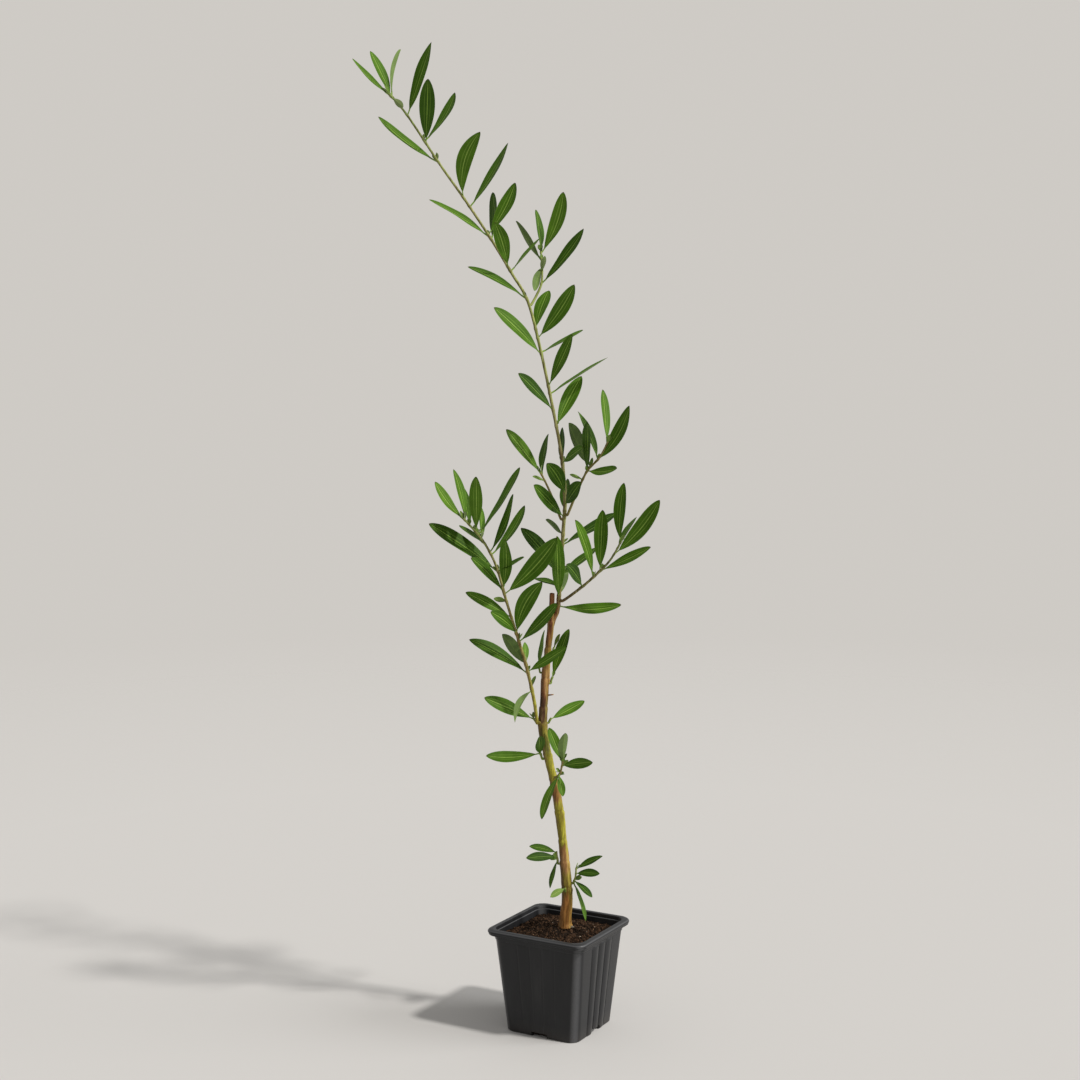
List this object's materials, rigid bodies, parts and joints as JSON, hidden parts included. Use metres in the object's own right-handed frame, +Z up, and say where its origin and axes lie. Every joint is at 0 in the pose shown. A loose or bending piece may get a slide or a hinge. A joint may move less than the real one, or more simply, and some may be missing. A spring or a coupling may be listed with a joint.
{
  "type": "potted olive tree",
  "caption": "Young olive tree in a square nursery pot: a thin leaning trunk, a long leader and side shoots with narrow leaves, for standing on a surface.",
  "frame": {"origin": "middle of the pot's flat underside", "axes": "+Z up along the plant; the pot's straight sides lie along X and Y; the pictured front looks from +X and -Y, about 30 degrees round from -Y"},
  "size_m": [0.2164, 0.1523, 0.7903],
  "materials": {
    "plastic": "satin",
    "potting_mix": "matte",
    "bark": "matte",
    "foliage": "satin"
  },
  "bodies": {
    "root": {"pot": "plastic", "soil": "potting_mix", "trunk": "bark", "left_bough": "bark", "right_bough": "bark", "leader_lower": "foliage", "leader_middle": "foliage", "leader_upper": "foliage", "leader_high": "foliage", "leader_tip": "foliage", "left_foliage": "foliage", "right_foliage": "foliage", "upper_right_foliage": "foliage", "short_left_foliage": "foliage", "side_shoot_foliage": "foliage", "low_foliage": "foliage", "fork_left_leaf": "foliage", "fork_right_leaf": "foliage", "middle_left_leaves": "foliage", "high_right_leaf": "foliage", "high_bud": "foliage", "high_left_leaf": "foliage", "foot_left_leaves": "foliage", "foot_right_leaves": "foliage", "foot_front_leaf": "foliage"}
  },
  "joints": []
}
